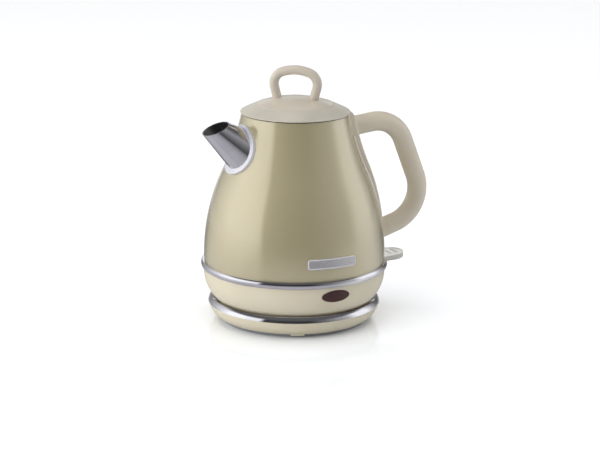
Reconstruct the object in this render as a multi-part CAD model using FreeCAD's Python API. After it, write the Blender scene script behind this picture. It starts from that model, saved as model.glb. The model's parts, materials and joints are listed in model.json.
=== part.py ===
import FreeCAD, Part
import math
import os
from FreeCAD import Vector

# Electric kettle on a round power base. Millimetres, Z up, table at Z 0.
# The turning axis is the Z axis, the spout points to -X, the handle to +X
# and the indicator lens to -Y.

# Shared clearances
RUN_GAP = 0.4        # between pieces that move on each other
SET_GAP = 0.1        # around a piece set into its place
PIN_GAP = 0.05       # radial play of the switch pin
CONTACT_GAP = 0.02   # around contacts pressed into the connector

# Screws and bosses
SCREW_R = 1.5
SCREW_HEAD_R = 2.9
SCREW_HEAD_H = 1.5
RECESS_L = 3.4
RECESS_W = 0.8
RECESS_DEPTH = 0.9
BOSS_R = 4.0
SCREW_COUNT = 3

# Painted body: two tangent arcs that meet at the waist
BODY_R = 73.4
WAIST_IN = 14.5      # waist inside the foot
TOP_IN = 15.5        # top edge inside the waist
WAIST_R = BODY_R - WAIST_IN
BODY_TOP_R = WAIST_R - TOP_IN
WAIST_LEAN = 0.454
BODY_WALL = 1.0
SOLE_FLANGE_W = 7.4
MOUTH_IN = 5.2
MOUTH_R = BODY_TOP_R - MOUTH_IN
MOUTH_LIP_H = 6.8

# Lower collar, trim ring and underside of the kettle: radii
RING_PROUD = 2.5
RING_EDGE = 1.1
RING_R = BODY_R + RING_PROUD
COLLAR_PROUD = 0.2
COLLAR_TAPER = 6.4
COLLAR_FOOT_IN = 6.2
COLLAR_LIP_W = 2.8
COLLAR_TOP_R = BODY_R + COLLAR_PROUD
COLLAR_LOW_R = COLLAR_TOP_R - COLLAR_TAPER
COLLAR_FOOT_R = COLLAR_LOW_R - COLLAR_FOOT_IN
COLLAR_LIP_R = COLLAR_FOOT_R - COLLAR_LIP_W
COLLAR_BULGE = 2.1
COLLAR_WALL = 2.4
COLLAR_REBATE = 0.4
COLLAR_FOOT_ROUND = 0.4
COLLAR_LIP_T = 2.0
SOLE_RIM_IN = 1.2
SOLE_RIM_R = COLLAR_LIP_R - SOLE_RIM_IN
SOLE_RIM_W = 6.0
SOLE_SCREW_IN = 3.8
SOLE_SCREW_RING_R = COLLAR_LIP_R - SOLE_SCREW_IN
SOLE_SCREW_L = 9.0
SOLE_SCREW_FIRST_DEG = 60.0
SOLE_BOSS_H = 10.0
RIB_T = 3.0

# Power base: it reaches a little beyond the collar above it
BASE_PROUD = 2.4
BASE_TAPER = 7.0
BASE_RIM_R = COLLAR_LOW_R + BASE_PROUD
BASE_EDGE_R = BASE_RIM_R - BASE_TAPER
BASE_EDGE_Z = 3.0
BASE_SIDE_H = 11.0
BASE_DECK_RISE = 1.1
BASE_RIM_Z = BASE_EDGE_Z + BASE_SIDE_H
BASE_DECK_Z = BASE_RIM_Z + BASE_DECK_RISE
BASE_BULGE = 1.5
BASE_WALL = 2.2
LUG_COUNT = 4
LUG_FIRST_DEG = 246.0
LUG_SPAN_DEG = 10.0
LUG_DEPTH = 2.2
LUG_DROP = 1.2
COVER_IN = 2.5
COVER_R = BASE_EDGE_R - COVER_IN
COVER_Z = 3.0
COVER_T = 2.4
FOOT_IN = 1.0
FOOT_R = COVER_R - FOOT_IN
FOOT_W = 8.6
FOOT_H = 3.8
BASE_SCREW_IN = 6.8
BASE_SCREW_RING_R = FOOT_R - FOOT_W - BASE_SCREW_IN
BASE_SCREW_L = 7.0
BASE_SCREW_FIRST_DEG = 30.0
BASE_RING_PROUD = 0.4
BASE_RING_DEPTH = 6.7
BASE_RING_CREST_IN = 2.2
BASE_RING_H = 4.5
BASE_RING_LIP_H = 1.6
BASE_RING_BULGE = 0.45
BASE_RING_R = BASE_RIM_R + BASE_RING_PROUD
BASE_RING_INNER_R = BASE_RIM_R - BASE_RING_DEPTH
BASE_RING_CREST_R = BASE_RIM_R - BASE_RING_CREST_IN
BASE_RING_TOP_Z = BASE_RIM_Z + BASE_RING_H
BASE_RING_SEAT_Z = BASE_RIM_Z + BASE_RING_LIP_H

# Heights of the kettle above the deck of its base
REST_GAP = 0.3
SOLE_RIM_H = 1.2
COLLAR_FOOT_H = 4.8
COLLAR_H = 21.9
RING_H = 5.4
BODY_FOOT_RISE = 5.0
BODY_SOLE_DROP = 4.0
WAIST_RISE = 73.3
TOP_RISE = 47.7
SOLE_Z = BASE_DECK_Z + REST_GAP
COLLAR_FOOT_Z = SOLE_Z + SOLE_RIM_H
COLLAR_LOW_Z = COLLAR_FOOT_Z + COLLAR_FOOT_H
RING_BOTTOM_Z = COLLAR_LOW_Z + COLLAR_H
RING_TOP_Z = RING_BOTTOM_Z + RING_H
BODY_FOOT_Z = RING_BOTTOM_Z + BODY_FOOT_RISE
BODY_SOLE_Z = BODY_FOOT_Z - BODY_SOLE_DROP
WAIST_Z = BODY_FOOT_Z + WAIST_RISE
BODY_TOP_Z = WAIST_Z + TOP_RISE

# Cord gland at the back of the base
GLAND_BORE_R = 3.4
GLAND_R = 4.6
GLAND_RIM_R = 5.1
GLAND_RIM_T = 2.2
GLAND_DROP = 5.4
GLAND_Z = BASE_RIM_Z - GLAND_DROP
GLAND_L = 8.0

# Connector hub of the base and socket of the kettle
HUB_R = 16.2
HUB_H = 10.0
HUB_TOP_Z = BASE_DECK_Z + HUB_H
HUB_EDGE = 1.2
HUB_FLANGE_W = 3.8
HUB_FLANGE_R = HUB_R + HUB_FLANGE_W
HUB_FLANGE_T = 1.6
SLOT_IN_R = 8.2
SLOT_W = 4.2
SLOT_OUT_R = SLOT_IN_R + SLOT_W
CONTACT_T = 0.5
WELL_R = 4.6
WELL_DROP = 0.5
WELL_FLOOR_Z = BASE_DECK_Z - WELL_DROP
EARTH_PIN_R = 1.5
EARTH_PIN_TIP = 2.0
SOCKET_WALL = 1.4
SOCKET_ROOF_T = 2.0
BLADE_R = SLOT_IN_R + SLOT_W / 2
BLADE_T = 1.2
SLEEVE_T = 1.0
BLADE_SINK = 1.0

# Steam pipe
PIPE_IN = 7.2
PIPE_X = BODY_TOP_R - PIPE_IN
PIPE_R = 4.0
PIPE_WALL = 0.7
PIPE_TOP_DROP = 18.3
PIPE_TOP_Z = BODY_TOP_Z - PIPE_TOP_DROP
PIPE_END_DROP = 10.0
PIPE_END_Z = BODY_SOLE_Z - PIPE_END_DROP
GROMMET_W = 2.2
GROMMET_H = 2.4

# Heated floor
SEAL_T = 1.2
PLATE_T = 1.2
SPREADER_T = 2.5
ELEMENT_R = 3.3
ELEMENT_BESIDE_PIPE = 10.0
ELEMENT_RING_R = PIPE_X + ELEMENT_BESIDE_PIPE
SPREADER_OUT = 14.0
SPREADER_R = ELEMENT_RING_R + SPREADER_OUT
ELEMENT_SWEEP_DEG = 318.0
ELEMENT_FIRST_DEG = 201.0
TERMINAL_R = 2.0
TERMINAL_L = 7.0

# Thermostat control
CONTROL_BESIDE_PIPE = 6.0
CONTROL_R = PIPE_X - CONTROL_BESIDE_PIPE
CONTROL_TOP_DROP = 5.0
CONTROL_TOP_Z = BODY_SOLE_Z - CONTROL_TOP_DROP
CONTROL_SHELF_H = 9.0
CONTROL_SHELF_Z = COLLAR_FOOT_Z + CONTROL_SHELF_H
CONTROL_SKIRT_T = 3.0
CONTROL_SKIRT_H = 2.2
CONTROL_SKIRT_Z = COLLAR_FOOT_Z + CONTROL_SKIRT_H
POST_R = 2.5
POST_IN = 4.0
POST_RING_R = CONTROL_R - POST_IN
POST_COUNT = 3
POST_FIRST_DEG = 90.0
DISC_R = 7.0
DISC_T = 0.8
DISC_X = 13.0

# Indicator light
LENS_HALF_W = 12.0
LENS_HALF_H = 4.9
LENS_DROP = 7.6
LENS_Z = RING_BOTTOM_Z - LENS_DROP
LENS_PROUD = 0.5
LENS_T = 2.6
LAMP_R = 2.4
LAMP_L = 14.0
LAMP_DEPTH = 8.6
HOLDER_HALF_W = 9.0
HOLDER_T = 2.0
HOLDER_LEG_W = 8.0
HOLDER_LEG_T = 3.4

# Boil switch
LEVER_REACH = 25.1
LEVER_TIP_X = RING_R + LEVER_REACH
LEVER_HALF_W = 11.5
LEVER_NOSE = 16.0
LEVER_DROP = 1.7     # over the pin
LEVER_TILT_DEG = 4.0
LEVER_TOP_Z = RING_BOTTOM_Z - LEVER_DROP
LEVER_T = 4.0
LEVER_SWING_DEG = 12.0
PIVOT_IN = 15.6
PIVOT_X = COLLAR_TOP_R - PIVOT_IN
PIVOT_DROP = 5.7
PIVOT_Z = LEVER_TOP_Z - PIVOT_DROP
PIN_R = 1.5
PIVOT_HUB_R = 3.4
EAR_T = 2.2
EAR_R = 4.0
BRACKET_FLOOR_DROP = 6.0
BRACKET_FLOOR_Z = PIVOT_Z - BRACKET_FLOOR_DROP
BRACKET_FLOOR_T = 2.2
BRACKET_TONGUE_L = 9.0
BRACKET_END_X = PIVOT_X + BRACKET_TONGUE_L
BRACKET_TONGUE_HALF_W = 3.6
BRACKET_LEG_BACK = 7.0
BRACKET_LEG_X = PIVOT_X - BRACKET_LEG_BACK
BRACKET_LEG_T = 3.0
SPRING_AHEAD = 6.2
SPRING_X = PIVOT_X + SPRING_AHEAD
SPRING_R = 2.4
SPRING_WIRE_R = 0.35
SPRING_TURNS = 4
STEAM_DISC_R = 5.5
STEAM_DISC_T = 0.6

# Spout: a loft from a flange on the body to a tilted mouth
SPOUT_RISE = 21.7
SPOUT_Z = WAIST_Z + SPOUT_RISE
SPOUT_FLANGE_ELEV = 21.0
SPOUT_BASE_DROP = 1.4
SPOUT_BASE_Z = SPOUT_Z - SPOUT_BASE_DROP
SPOUT_BASE_R = 18.2
SPOUT_BASE_SINK = 5.0
SPOUT_REACH = 19.8
SPOUT_TIP_RISE = 18.9
SPOUT_TIP_ELEV = 67.0
SPOUT_TIP_R = 11.4
SPOUT_WALL = 0.9
SPOUT_HOLE_R = 14.0
FLANGE_R = 20.9
FLANGE_FACE_R = 20.0
FLANGE_T = 2.0
FLANGE_SINK = 12.0   # reach of the cutting tools behind the wall
FLANGE_REACH = 8.0   # and in front of it
FILTER_R = 17.0
FILTER_T = 1.5
FILTER_GAP = 0.3
FILTER_SLOTS = 7
FILTER_SLOT_W = 1.6
FILTER_PITCH = 3.6
FILTER_SLOT_H = 20.0

# Handle and its strip on the back of the body
STRIP_HALF_W = 11.0
STRIP_T = 4.6
STRIP_EDGE = 2.0
STRIP_FOOT_RISE = 1.2
STRIP_FOOT_BEVEL = 4.8
STRIP_TOP_DROP = 1.9
STRIP_TOP_BEVEL = 4.4
STRIP_FOOT_Z = BODY_FOOT_Z + STRIP_FOOT_RISE
STRIP_FULL_Z = STRIP_FOOT_Z + STRIP_FOOT_BEVEL
STRIP_TOP_Z = BODY_TOP_Z - STRIP_TOP_DROP
STRIP_SHOULDER_Z = STRIP_TOP_Z - STRIP_TOP_BEVEL
STRIP_THIN = 2.2
STRIP_BACK = 6.0
GRIP_R = 8.0
GRIP_TOP_REACH = 18.4
GRIP_LOW_REACH = 50.7
GRIP_TOP_ROOT_IN = 27.6
GRIP_LOW_ROOT_IN = 5.8
GRIP_TOP_ROOT_DROP = 16.1
GRIP_TOP_DROP = 11.0
GRIP_LOW_RISE = 29.6
GRIP_LOW_ROOT_RISE = 12.7
GRIP_TOP_START = (BODY_R - GRIP_TOP_ROOT_IN, BODY_TOP_Z - GRIP_TOP_ROOT_DROP)
GRIP_TOP_CORNER = (BODY_R + GRIP_TOP_REACH, BODY_TOP_Z - GRIP_TOP_DROP)
GRIP_LOW_CORNER = (BODY_R + GRIP_LOW_REACH, BODY_FOOT_Z + GRIP_LOW_RISE)
GRIP_LOW_END = (BODY_R - GRIP_LOW_ROOT_IN, BODY_FOOT_Z + GRIP_LOW_ROOT_RISE)
GRIP_TOP_BEND = 28.0
GRIP_LOW_BEND = 29.0
STUD_R = 2.5
STUD_L = 24.0

# Lid
LID_PROUD = 0.8
LID_R = BODY_TOP_R + LID_PROUD
LID_RIM_H = 0.8
LID_RIM_IN = 0.4
LID_RIM_ROUND = 0.15
LID_GAP = 0.8
LID_REST = 0.3
LID_RISE = 6.6
LID_CROWN = 0.2
LID_SKIN = 2.0
LID_SLOPE_W = 13.2
LID_SHELF_W = 5.6
LID_SHELF_T = 1.4
LID_LAND_IN = 3.5
LID_LAND_R = LID_R - LID_LAND_IN
DISC_EDGE_R = LID_R - LID_SLOPE_W
LID_SHELF_R = DISC_EDGE_R - LID_SHELF_W
DISC_STEP = 0.4
DISC_DOME = 5.2
DISC_ROUND = 0.6
LOOP_TURN_DEG = -40.0
LOOP_R = 3.7
LOOP_FOOT_X = 13.4
LOOP_SPLAY = 6.4
LOOP_CORNER_X = LOOP_FOOT_X + LOOP_SPLAY
LOOP_RISE = 36.6
LOOP_TOP_Z = BODY_TOP_Z + LOOP_RISE
LOOP_ARCH = 7.0
LOOP_CORNER_Z = LOOP_TOP_Z - LOOP_ARCH
LOOP_BEND = 10.0
LOOP_ARCH_BEND = 32.0
PLUG_GAP = 1.6
PLUG_R = MOUTH_R - PLUG_GAP
PLUG_WALL = 2.2
PLUG_DEPTH = 12.4
PLUG_FLOOR_T = 1.6
LID_SEAL_H = 2.8
LID_SEAL_SINK = 1.2
LID_SEAL_PROUD = PLUG_GAP - RUN_GAP
LID_SEAL_DROP = 5.1
LID_SEAL_Z = BODY_TOP_Z - LID_SEAL_DROP
LID_SCREW_X = 12.0
LID_SCREW_L = 8.0

ORIGIN = Vector(0, 0, 0)
UP = Vector(0, 0, 1)
LONG = 400.0         # longer than any piece, for cutting tools


class Outline:
    """Closed outline in the XZ plane, drawn with lines and arcs."""

    def __init__(self, x, z):
        self.start = Vector(x, 0, z)
        self.at = self.start
        self.edges = []

    def line(self, x, z):
        end = Vector(x, 0, z)
        self.edges.append(Part.LineSegment(self.at, end).toShape())
        self.at = end
        return self

    def arc(self, x_mid, z_mid, x, z):
        end = Vector(x, 0, z)
        self.edges.append(Part.Arc(self.at, Vector(x_mid, 0, z_mid), end).toShape())
        self.at = end
        return self

    def bow(self, x, z, rise):
        """Arc to a point whose middle stands off the chord, to the right of travel."""
        chord = Vector(x, 0, z) - self.at
        side = Vector(chord.z, 0, -chord.x).normalize()
        middle = self.at + chord * 0.5 + side * rise
        return self.arc(middle.x, middle.z, x, z)

    def dome(self, z_top):
        """Arc up to the axis that makes part of a sphere when turned."""
        rise = z_top - self.at.z
        radius = (self.at.x ** 2 + rise ** 2) / (2 * rise)
        half = math.asin(self.at.x / radius) / 2
        return self.arc(radius * math.sin(half), z_top - radius + radius * math.cos(half), 0, z_top)

    def along_body(self, z_end, outset):
        """Follow the painted body's curve, moved out by outset, to a height."""
        joint = WAIST_Z + outset * waist_normal().z
        stops = [z_end]
        if (self.at.z - joint) * (z_end - joint) < 0:
            stops = [joint, z_end]
        for stop in stops:
            middle = (self.at.z + stop) / 2
            self.arc(body_radius(middle, outset), middle, body_radius(stop, outset), stop)
        return self

    def face(self):
        if self.at.distanceToPoint(self.start) > 1e-6:
            self.line(self.start.x, self.start.z)
        return Part.Face(Part.Wire(self.edges))

    def turned(self):
        """Solid of revolution about the kettle's axis."""
        return self.face().revolve(ORIGIN, UP, 360)

    def slab(self, half_width):
        """Solid of even thickness across Y."""
        face = self.face()
        face.translate(Vector(0, -half_width, 0))
        return face.extrude(Vector(0, 2 * half_width, 0))


def waist_normal():
    return Vector(1, 0, WAIST_LEAN).normalize()


def body_arc_centre(end):
    """Distance from the waist, along its normal, of the arc centre that reaches end."""
    chord = end - Vector(WAIST_R, 0, WAIST_Z)
    return chord.dot(chord) / (2 * chord.dot(waist_normal()))


def body_radius(z, outset=0.0):
    """Radius of the painted body's curve at a height, moved out by outset."""
    normal = waist_normal()
    waist = Vector(WAIST_R, 0, WAIST_Z)
    if z < WAIST_Z + outset * normal.z:
        offset = body_arc_centre(Vector(BODY_R, 0, BODY_FOOT_Z))
        centre = waist + normal * offset
        return centre.x + math.sqrt((outset - offset) ** 2 - (z - centre.z) ** 2)
    offset = body_arc_centre(Vector(BODY_TOP_R, 0, BODY_TOP_Z))
    centre = waist + normal * offset
    return centre.x - math.sqrt((offset - outset) ** 2 - (z - centre.z) ** 2)


def body_layer(inner, outer, z_low, z_high):
    """Skin between two outsets of the body's curve."""
    skin = Outline(body_radius(z_low, inner), z_low)
    skin.line(body_radius(z_low, outer), z_low)
    skin.along_body(z_high, outer)
    skin.line(body_radius(z_high, inner), z_high)
    skin.along_body(z_low, inner)
    return skin.turned()


def cylinder(radius, z_low, z_high, x=0.0, y=0.0):
    return Part.makeCylinder(radius, z_high - z_low, Vector(x, y, z_low))


def tube(outer, inner, z_low, z_high, x=0.0, y=0.0):
    return cylinder(outer, z_low, z_high, x, y).cut(cylinder(inner, z_low, z_high, x, y))


def block(x_low, x_high, half_width, z_low, z_high):
    corner = Vector(x_low, -half_width, z_low)
    return Part.makeBox(x_high - x_low, 2 * half_width, z_high - z_low, corner)


def turned_by(shape, degrees):
    copy = shape.copy()
    copy.rotate(ORIGIN, UP, degrees)
    return copy


def around(shape, angles):
    return [turned_by(shape, angle) for angle in angles]


def spread(count, first):
    return [first + 360.0 * step / count for step in range(count)]


def screw(x, head_z, length):
    """Pan-head screw on +X pointing up, with a cross recess under its head."""
    head = cylinder(SCREW_HEAD_R, head_z, head_z + SCREW_HEAD_H, x)
    shank = cylinder(SCREW_R, head_z + SCREW_HEAD_H, head_z + SCREW_HEAD_H + length, x)
    recess_top = head_z + RECESS_DEPTH
    along = block(x - RECESS_L / 2, x + RECESS_L / 2, RECESS_W / 2, head_z, recess_top)
    across = block(x - RECESS_W / 2, x + RECESS_W / 2, RECESS_L / 2, head_z, recess_top)
    return head.fuse(shank).cut([along, across])


def screw_hole(x, z_low, z_high):
    return cylinder(SCREW_R + SET_GAP, z_low, z_high, x)


def bent_rod(corners, bends, radius):
    """Round rod in the XZ plane through corner points, each bent to its radius."""
    points = [Vector(x, 0, z) for x, z in corners]
    at = points[0]
    pieces = []
    for before, corner, after, bend in zip(points, points[1:], points[2:], bends):
        way_in = (corner - before).normalize()
        way_out = (after - corner).normalize()
        turn = way_in.getAngle(way_out)
        trim = bend * math.tan(turn / 2)
        start = corner - way_in * trim
        axis = way_in.cross(way_out).normalize()
        centre = start + axis.cross(way_in) * bend
        pieces.append(Part.makeCylinder(radius, at.distanceToPoint(start), at, way_in))
        disc = Part.Face(Part.Wire(Part.makeCircle(radius, start, way_in)))
        pieces.append(disc.revolve(centre, axis, math.degrees(turn)))
        at = corner + way_out * trim
    way_out = (points[-1] - at).normalize()
    pieces.append(Part.makeCylinder(radius, at.distanceToPoint(points[-1]), at, way_out))
    return pieces[0].fuse(pieces[1:])


def save(name, solids):
    """Write one node: a single solid or a group of alike solids."""
    if isinstance(solids, list):
        shape = Part.makeCompound(solids)
    else:
        shape = solids
    shape.exportStep("parts/" + name + ".step")


def build_base():
    deck_under_z = BASE_DECK_Z - BASE_WALL
    shell = Outline(HUB_R + SET_GAP, BASE_DECK_Z)
    shell.line(BASE_RING_INNER_R - SET_GAP, BASE_DECK_Z)
    shell.line(BASE_RING_INNER_R - SET_GAP, BASE_RIM_Z)
    shell.line(BASE_RIM_R, BASE_RIM_Z)
    shell.bow(BASE_EDGE_R, BASE_EDGE_Z, -BASE_BULGE)
    shell.line(BASE_EDGE_R - BASE_WALL, BASE_EDGE_Z)
    shell.bow(BASE_RIM_R - BASE_WALL, deck_under_z, BASE_BULGE)
    shell.line(HUB_R + SET_GAP, deck_under_z)
    base_shell = shell.turned()
    filled = Outline(0, BASE_RIM_Z)
    filled.line(BASE_RIM_R, BASE_RIM_Z)
    filled.bow(BASE_EDGE_R, BASE_EDGE_Z, -BASE_BULGE)
    filled.line(0, BASE_EDGE_Z)
    base_outside = filled.turned()

    lug_low_z = BASE_EDGE_Z - LUG_DROP
    lug = Outline(BASE_EDGE_R - LUG_DEPTH, lug_low_z)
    lug.line(BASE_EDGE_R - SET_GAP, lug_low_z)
    lug.line(BASE_EDGE_R - SET_GAP, BASE_EDGE_Z + SET_GAP)
    lug.line(BASE_EDGE_R - LUG_DEPTH, BASE_EDGE_Z + SET_GAP)
    lug_solid = lug.face().revolve(ORIGIN, UP, LUG_SPAN_DEG)
    lug_angles = spread(LUG_COUNT, LUG_FIRST_DEG - LUG_SPAN_DEG / 2)

    screw_angles = spread(SCREW_COUNT, BASE_SCREW_FIRST_DEG)
    boss_low_z = COVER_Z + COVER_T + SET_GAP
    boss = cylinder(BOSS_R, boss_low_z, deck_under_z + SET_GAP, BASE_SCREW_RING_R)
    pilot_top_z = COVER_Z + SCREW_HEAD_H + BASE_SCREW_L + SET_GAP
    pilot = screw_hole(BASE_SCREW_RING_R, boss_low_z, pilot_top_z)
    gland_seat = Part.makeCylinder(GLAND_R + SET_GAP, LONG, Vector(0, 0, GLAND_Z), Vector(0, 1, 0))
    base_shell = base_shell.fuse(around(lug_solid, lug_angles) + around(boss, screw_angles))
    base_shell = base_shell.cut(around(pilot, screw_angles) + [gland_seat])
    save("base_shell", base_shell.removeSplitter())

    ring = Outline(BASE_RING_INNER_R, BASE_RIM_Z)
    ring.line(BASE_RING_R, BASE_RIM_Z)
    ring.bow(BASE_RING_CREST_R, BASE_RING_TOP_Z, BASE_RING_BULGE)
    ring.line(BASE_RING_INNER_R, BASE_RING_SEAT_Z)
    save("base_trim_ring", ring.turned())

    cover_top_z = COVER_Z + COVER_T
    cover = cylinder(COVER_R, COVER_Z, cover_top_z)
    foot_groove = tube(FOOT_R + SET_GAP, FOOT_R - FOOT_W - SET_GAP, COVER_Z, FOOT_H)
    head_seat = cylinder(SCREW_HEAD_R + SET_GAP, COVER_Z, COVER_Z + SCREW_HEAD_H, BASE_SCREW_RING_R)
    head_hole = screw_hole(BASE_SCREW_RING_R, COVER_Z, cover_top_z)
    cover = cover.cut([foot_groove] + around(head_seat, screw_angles) + around(head_hole, screw_angles))
    save("base_bottom_cover", cover)
    save("base_foot_ring", tube(FOOT_R, FOOT_R - FOOT_W, 0, FOOT_H))
    save("base_screws", around(screw(BASE_SCREW_RING_R, COVER_Z, BASE_SCREW_L), screw_angles))

    wall_y = BASE_RIM_R - BASE_WALL / 2
    gland_start = Vector(0, wall_y - GLAND_L, GLAND_Z)
    gland = Part.makeCylinder(GLAND_R, GLAND_L, gland_start, Vector(0, 1, 0))
    rim_start = Vector(0, BASE_EDGE_R - BASE_WALL, GLAND_Z)
    rim_l = wall_y + GLAND_RIM_T - rim_start.y
    rim = Part.makeCylinder(GLAND_RIM_R, rim_l, rim_start, Vector(0, 1, 0))
    bore = Part.makeCylinder(GLAND_BORE_R, LONG, gland_start, Vector(0, 1, 0))
    save("cord_gland", gland.fuse(rim.cut(base_outside)).cut(bore).removeSplitter())


def build_connector():
    flange_low_z = BASE_DECK_Z - BASE_WALL - SET_GAP - HUB_FLANGE_T
    flange_top_z = flange_low_z + HUB_FLANGE_T
    hub = Outline(0, flange_low_z)
    hub.line(HUB_FLANGE_R, flange_low_z)
    hub.line(HUB_FLANGE_R, flange_top_z)
    hub.line(HUB_R, flange_top_z)
    hub.line(HUB_R, HUB_TOP_Z - HUB_EDGE)
    hub.line(HUB_R - HUB_EDGE, HUB_TOP_Z)
    hub.line(SLOT_OUT_R, HUB_TOP_Z)
    hub.line(SLOT_OUT_R, WELL_FLOOR_Z)
    hub.line(SLOT_IN_R, WELL_FLOOR_Z)
    hub.line(SLOT_IN_R, HUB_TOP_Z)
    hub.line(WELL_R, HUB_TOP_Z)
    hub.line(WELL_R, WELL_FLOOR_Z)
    hub.line(0, WELL_FLOOR_Z)
    pin_low_z = flange_top_z
    pin_seat = cylinder(EARTH_PIN_R + CONTACT_GAP, pin_low_z, HUB_TOP_Z)
    save("connector_hub", hub.turned().cut(pin_seat))
    save("base_earth_pin", cylinder(EARTH_PIN_R, pin_low_z, HUB_TOP_Z - EARTH_PIN_TIP))

    ring_low_z = WELL_FLOOR_Z + CONTACT_GAP
    ring_top_z = HUB_TOP_Z - EARTH_PIN_TIP
    inner_low_r = SLOT_IN_R + CONTACT_GAP
    inner_ring = tube(inner_low_r + CONTACT_T, inner_low_r, ring_low_z, ring_top_z)
    outer_high_r = SLOT_OUT_R - CONTACT_GAP
    outer_ring = tube(outer_high_r, outer_high_r - CONTACT_T, ring_low_z, ring_top_z)
    save("base_contact_rings", [inner_ring, outer_ring])

    roof_z = HUB_TOP_Z + RUN_GAP
    roof_top_z = roof_z + SOCKET_ROOF_T
    tip_z = WELL_FLOOR_Z + EARTH_PIN_TIP
    skirt_r = HUB_R + RUN_GAP
    socket = cylinder(skirt_r + SOCKET_WALL, COLLAR_FOOT_Z, roof_top_z)
    socket = socket.cut(cylinder(skirt_r, COLLAR_FOOT_Z, roof_z))
    blade = tube(BLADE_R + BLADE_T / 2, BLADE_R - BLADE_T / 2, tip_z, roof_z + BLADE_SINK)
    sleeve_r = EARTH_PIN_R + RUN_GAP
    sleeve = tube(sleeve_r + SLEEVE_T, sleeve_r, tip_z, roof_z + BLADE_SINK)
    blade_high_r = BLADE_R + BLADE_T / 2 + CONTACT_GAP
    blade_low_r = BLADE_R - BLADE_T / 2 - CONTACT_GAP
    blade_seat = tube(blade_high_r, blade_low_r, roof_z, roof_z + BLADE_SINK)
    sleeve_seat = cylinder(sleeve_r + SLEEVE_T + CONTACT_GAP, roof_z, roof_z + BLADE_SINK)
    save("connector_socket", socket.cut([blade_seat, sleeve_seat]))
    save("socket_contacts", [blade, sleeve])
    return roof_top_z


def build_heater(socket_top_z):
    seal_low_z = BODY_SOLE_Z + BODY_WALL
    plate_low_z = seal_low_z + SEAL_T
    plate_top_z = plate_low_z + PLATE_T
    floor_r = BODY_R - BODY_WALL - SET_GAP
    pipe_hole = cylinder(PIPE_R + SET_GAP, BODY_SOLE_Z - LONG, plate_top_z, PIPE_X)
    save("plate_seal", tube(floor_r, BODY_R - SOLE_FLANGE_W, seal_low_z, plate_low_z))
    save("heating_plate", cylinder(floor_r, plate_low_z, plate_top_z).cut(pipe_hole))

    spreader_low_z = plate_low_z - SPREADER_T
    spreader = cylinder(SPREADER_R, spreader_low_z, plate_low_z)
    save("heat_spreader", spreader.cut(pipe_hole))

    element_z = spreader_low_z - SET_GAP - ELEMENT_R
    ring_start = Vector(ELEMENT_RING_R, 0, element_z)
    section = Part.Face(Part.Wire(Part.makeCircle(ELEMENT_R, ring_start, Vector(0, 1, 0))))
    terminal = cylinder(TERMINAL_R, element_z - TERMINAL_L, element_z, ELEMENT_RING_R)
    element = section.revolve(ORIGIN, UP, ELEMENT_SWEEP_DEG)
    element = element.fuse([terminal, turned_by(terminal, ELEMENT_SWEEP_DEG)])
    save("heating_element", turned_by(element, ELEMENT_FIRST_DEG))

    socket_r = HUB_R + 2 * RUN_GAP + SOCKET_WALL
    recess_z = socket_top_z + RUN_GAP
    control = Outline(0, recess_z)
    control.line(socket_r, recess_z)
    control.line(socket_r, CONTROL_SKIRT_Z)
    control.line(socket_r + CONTROL_SKIRT_T, CONTROL_SKIRT_Z)
    control.line(socket_r + CONTROL_SKIRT_T, CONTROL_SHELF_Z)
    control.line(CONTROL_R, CONTROL_SHELF_Z)
    control.line(CONTROL_R, CONTROL_TOP_Z)
    control.line(0, CONTROL_TOP_Z)
    post = cylinder(POST_R, CONTROL_TOP_Z, spreader_low_z, POST_RING_R)
    disc_low_z = spreader_low_z - SET_GAP - DISC_T
    pedestal = cylinder(DISC_R, CONTROL_TOP_Z, disc_low_z, DISC_X)
    disc = cylinder(DISC_R, disc_low_z, disc_low_z + DISC_T, DISC_X)
    posts = around(post, spread(POST_COUNT, POST_FIRST_DEG))
    housing = control.turned().fuse(posts + around(pedestal, spread(2, 0.0)))
    save("control_housing", housing.removeSplitter())
    save("bimetal_discs", around(disc, spread(2, 0.0)))

    save("steam_pipe", tube(PIPE_R, PIPE_R - PIPE_WALL, PIPE_END_Z, PIPE_TOP_Z, PIPE_X))
    grommet_r = PIPE_R + SET_GAP
    save("pipe_grommet", tube(grommet_r + GROMMET_W, grommet_r, plate_top_z, plate_top_z + GROMMET_H, PIPE_X))


def spout_axis(elevation):
    angle = math.radians(elevation)
    return Vector(-math.cos(angle), 0, math.sin(angle))


def spout_root(z):
    return Vector(-body_radius(z), 0, z)


def tilted_circle(radius, centre, elevation):
    """Circle whose normal leans from upright toward the spout side."""
    circle = Part.Wire(Part.makeCircle(radius))
    circle.rotate(ORIGIN, Vector(0, 1, 0), elevation - 90)
    circle.translate(centre)
    return circle


def spout_cone(growth):
    """Tapered spout between its flange and its mouth, grown by growth."""
    root = spout_root(SPOUT_BASE_Z) - spout_axis(SPOUT_FLANGE_ELEV) * SPOUT_BASE_SINK
    tip = spout_root(SPOUT_Z) + Vector(-SPOUT_REACH, 0, SPOUT_TIP_RISE)
    base_ring = tilted_circle(SPOUT_BASE_R + growth, root, SPOUT_FLANGE_ELEV)
    tip_ring = tilted_circle(SPOUT_TIP_R + growth, tip, SPOUT_TIP_ELEV)
    return Part.makeLoft([base_ring, tip_ring], True, True)


def flange_cone():
    """Tapered plug that bounds the flange round the foot of the spout."""
    axis = spout_axis(SPOUT_FLANGE_ELEV)
    start = spout_root(SPOUT_Z) - axis * FLANGE_SINK
    return Part.makeCone(FLANGE_R, FLANGE_FACE_R, FLANGE_SINK + FLANGE_REACH, start, axis)


def wall_plug(radius):
    """Straight plug through the body wall along the flange's axis."""
    axis = spout_axis(SPOUT_FLANGE_ELEV)
    start = spout_root(SPOUT_Z) - axis * FLANGE_SINK
    return Part.makeCylinder(radius, FLANGE_SINK + FLANGE_REACH, start, axis)


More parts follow.
